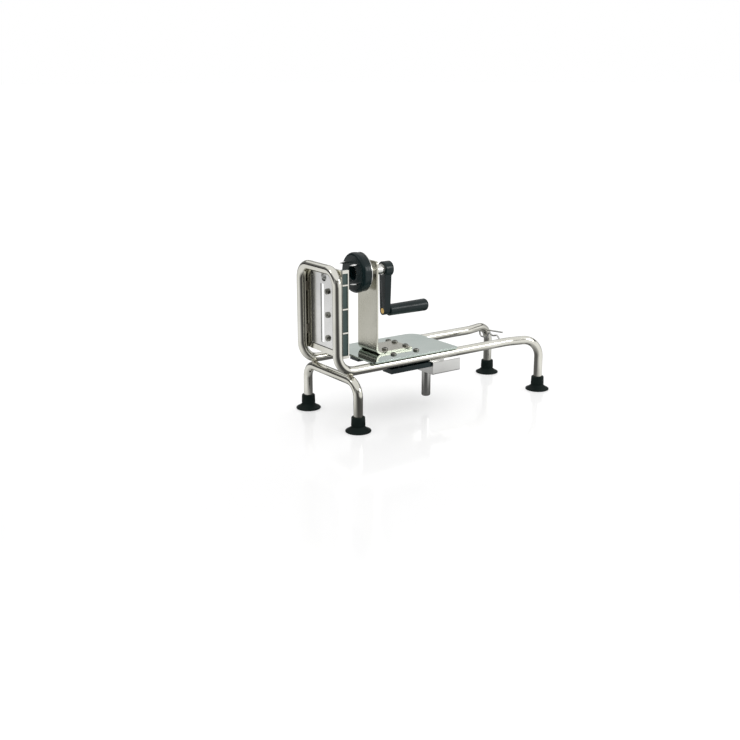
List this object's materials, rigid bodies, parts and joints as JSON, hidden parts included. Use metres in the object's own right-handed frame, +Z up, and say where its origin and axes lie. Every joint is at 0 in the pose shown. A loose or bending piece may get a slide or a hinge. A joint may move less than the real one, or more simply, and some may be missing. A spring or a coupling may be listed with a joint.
{
  "type": "apple peeler corer",
  "caption": "Table-top hand-cranked apple peeler, slicer and corer: bent-tube stand on suction feet, fixed blade unit, and a sliding carriage with a pronged spindle.",
  "frame": {"origin": "middle of the footprint, on the table under the suction feet", "axes": "+X along the rails, from the blade unit to the crank; +Y towards the clip; +Z up"},
  "size_m": [0.354, 0.151, 0.2155],
  "materials": {
    "stand_tube": "polished stainless steel tube",
    "weld": "brushed weld bead",
    "rubber_foot": "smooth black rubber",
    "satin_sheet": "satin stainless sheet",
    "black_plastic": "satin black plastic",
    "edge_steel": "ground blade steel",
    "turned_steel": "turned stainless steel",
    "fastener_steel": "plain stainless fasteners",
    "brass": "turned brass",
    "spring_wire": "bright spring wire"
  },
  "bodies": {
    "frame": {"rail_tube_left": "stand_tube", "rail_tube_right": "stand_tube", "top_hoop": "stand_tube", "front_leg_hoop": "stand_tube", "leg_welds": "weld", "suction_cup_front_left": "rubber_foot", "suction_cup_front_right": "rubber_foot", "suction_cup_rear_left": "rubber_foot", "suction_cup_rear_right": "rubber_foot", "blade_frame": "satin_sheet", "frame_welds": "weld", "guide_strip_left": "black_plastic", "guide_strip_right": "black_plastic", "cutting_plate": "satin_sheet", "plate_screws": "fastener_steel", "cutting_blade": "edge_steel", "blade_screws": "fastener_steel", "blade_nuts": "fastener_steel", "coring_tube": "edge_steel"},
    "carriage": {"carriage_plate": "satin_sheet", "upright_bracket": "satin_sheet", "foot_screws": "fastener_steel", "foot_nuts": "fastener_steel", "guide_block_left": "black_plastic", "guide_block_right": "black_plastic", "block_screws": "fastener_steel", "hanger": "satin_sheet", "push_pin": "turned_steel", "pin_screw": "fastener_steel", "bearing_bush": "turned_steel"},
    "spindle": {"spindle_shaft": "turned_steel", "spindle_screws": "fastener_steel", "drive_disc": "black_plastic", "backing_ring": "turned_steel", "prongs": "edge_steel", "thrust_washer": "turned_steel", "crank_arm": "black_plastic", "knob_axle": "brass"},
    "knob": {"knob": "black_plastic"},
    "clip": {"clip_wire": "spring_wire", "clip_spring_leg": "spring_wire"}
  },
  "joints": [
    {"name": "carriage_slide", "type": "slide", "parent": "frame", "child": "carriage", "axis": [1, 0, 0], "range_m": [-0.02, 0.118]},
    {"name": "crank_turn", "type": "hinge", "parent": "carriage", "child": "spindle", "pos_m": [-0.09, 0, 0.1895], "axis": [1, 0, 0], "continuous": true},
    {"name": "knob_turn", "type": "hinge", "parent": "spindle", "child": "knob", "pos_m": [-0.03, 0, 0.134], "axis": [1, 0, 0], "continuous": true},
    {"name": "clip_pull", "type": "slide", "parent": "frame", "child": "clip", "axis": [0, 0.9962, -0.0872], "range_m": [0, 0.052], "deforming": ["clip_spring_leg"]}
  ]
}
